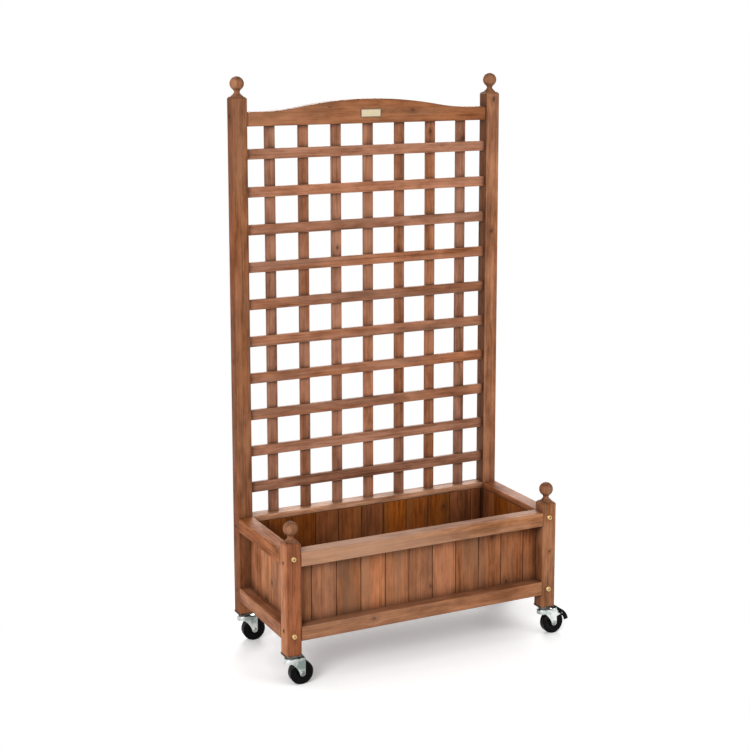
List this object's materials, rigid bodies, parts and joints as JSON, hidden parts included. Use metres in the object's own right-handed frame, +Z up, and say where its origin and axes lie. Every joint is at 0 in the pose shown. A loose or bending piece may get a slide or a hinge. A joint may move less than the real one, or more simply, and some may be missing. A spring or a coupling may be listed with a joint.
{
  "type": "planter with trellis",
  "caption": "Wooden trough planter on swivel casters, with a lattice trellis and an arched top rail between tall rear posts and ball finials on every post.",
  "frame": {"origin": "on the floor, under the middle of the whole footprint, casters and brake pedals included", "axes": "+Z up, the boarded front faces -Y, +X to the right seen from the front, and the trellis stands at +Y"},
  "size_m": [0.6761, 0.2992, 1.223],
  "materials": {
    "post_wood": "satin, reddish brown stain",
    "turned_wood": "satin, reddish brown stain",
    "rail_wood": "satin, reddish brown stain",
    "board_wood": "satin, reddish brown stain",
    "slat_wood": "satin, reddish brown stain",
    "cream_plate": "satin cream enamel",
    "brass_hardware": "satin",
    "dark_steel": "dark, oxidised",
    "zinc_steel": "bright zinc plate",
    "black_wheel": "semi-gloss moulded",
    "black_plastic": "satin moulded"
  },
  "bodies": {
    "planter": {"arched_rail": "rail_wood", "ball_finials": "turned_wood", "caster_front_left_plate": "zinc_steel", "caster_front_right_plate": "zinc_steel", "caster_rear_left_plate": "zinc_steel", "caster_rear_right_plate": "zinc_steel", "caster_screws": "zinc_steel", "connector_screws": "brass_hardware", "floor_cleats": "board_wood", "floor_slats": "board_wood", "frame_screws": "dark_steel", "front_boards": "board_wood", "front_bottom_rail": "rail_wood", "front_top_rail": "rail_wood", "left_boards": "board_wood", "left_bottom_rail": "rail_wood", "left_top_rail": "rail_wood", "level_slat_01": "slat_wood", "level_slat_02": "slat_wood", "level_slat_03": "slat_wood", "level_slat_04": "slat_wood", "level_slat_05": "slat_wood", "level_slat_06": "slat_wood", "level_slat_07": "slat_wood", "level_slat_08": "slat_wood", "level_slat_09": "slat_wood", "level_slat_10": "slat_wood", "name_plate": "cream_plate", "post_front_left": "post_wood", "post_front_right": "post_wood", "post_rear_left": "post_wood", "post_rear_right": "post_wood", "rear_boards": "board_wood", "rear_bottom_rail": "rail_wood", "rear_top_rail": "rail_wood", "right_boards": "board_wood", "right_bottom_rail": "rail_wood", "right_top_rail": "rail_wood", "upright_slats": "slat_wood"},
    "caster_front_left_swivel": {"caster_front_left_fork": "zinc_steel", "caster_front_left_axle": "zinc_steel"},
    "caster_front_left_roller": {"caster_front_left_wheel": "black_wheel"},
    "caster_front_right_swivel": {"caster_front_right_fork": "zinc_steel", "caster_front_right_axle": "zinc_steel"},
    "caster_front_right_roller": {"caster_front_right_wheel": "black_wheel"},
    "caster_front_right_brake": {"caster_front_right_brake_pedal": "black_plastic"},
    "caster_rear_left_swivel": {"caster_rear_left_fork": "zinc_steel", "caster_rear_left_axle": "zinc_steel"},
    "caster_rear_left_roller": {"caster_rear_left_wheel": "black_wheel"},
    "caster_rear_right_swivel": {"caster_rear_right_fork": "zinc_steel", "caster_rear_right_axle": "zinc_steel"},
    "caster_rear_right_roller": {"caster_rear_right_wheel": "black_wheel"},
    "caster_rear_right_brake": {"caster_rear_right_brake_pedal": "black_plastic"}
  },
  "joints": [
    {"name": "caster_front_left_turn", "type": "hinge", "parent": "planter", "child": "caster_front_left_swivel", "pos_m": [-0.31959, -0.1305, 0.057], "axis": [0, 0, 1], "continuous": true},
    {"name": "caster_front_left_roll", "type": "hinge", "parent": "caster_front_left_swivel", "child": "caster_front_left_roller", "pos_m": [-0.3001, -0.13118, 0.025], "axis": [0.0349, 0.9994, 0], "continuous": true},
    {"name": "caster_front_right_turn", "type": "hinge", "parent": "planter", "child": "caster_front_right_swivel", "pos_m": [0.28441, -0.1305, 0.057], "axis": [0, 0, 1], "continuous": true},
    {"name": "caster_front_right_roll", "type": "hinge", "parent": "caster_front_right_swivel", "child": "caster_front_right_roller", "pos_m": [0.30391, -0.1305, 0.025], "axis": [0, 1, 0], "continuous": true},
    {"name": "caster_front_right_brake_press", "type": "hinge", "parent": "caster_front_right_swivel", "child": "caster_front_right_brake", "pos_m": [0.32178, -0.1305, 0.0463], "axis": [0, 1, 0], "range_deg": [0, 8]},
    {"name": "caster_rear_left_turn", "type": "hinge", "parent": "planter", "child": "caster_rear_left_swivel", "pos_m": [-0.31959, 0.1305, 0.057], "axis": [0, 0, 1], "continuous": true},
    {"name": "caster_rear_left_roll", "type": "hinge", "parent": "caster_rear_left_swivel", "child": "caster_rear_left_roller", "pos_m": [-0.30012, 0.12948, 0.025], "axis": [0.0523, 0.9986, 0], "continuous": true},
    {"name": "caster_rear_right_turn", "type": "hinge", "parent": "planter", "child": "caster_rear_right_swivel", "pos_m": [0.28441, 0.1305, 0.057], "axis": [0, 0, 1], "continuous": true},
    {"name": "caster_rear_right_roll", "type": "hinge", "parent": "caster_rear_right_swivel", "child": "caster_rear_right_roller", "pos_m": [0.30386, 0.12914, 0.025], "axis": [0.0698, 0.9976, 0], "continuous": true},
    {"name": "caster_rear_right_brake_press", "type": "hinge", "parent": "caster_rear_right_swivel", "child": "caster_rear_right_brake", "pos_m": [0.32169, 0.12789, 0.0463], "axis": [0.0698, 0.9976, 0], "range_deg": [0, 8]}
  ]
}
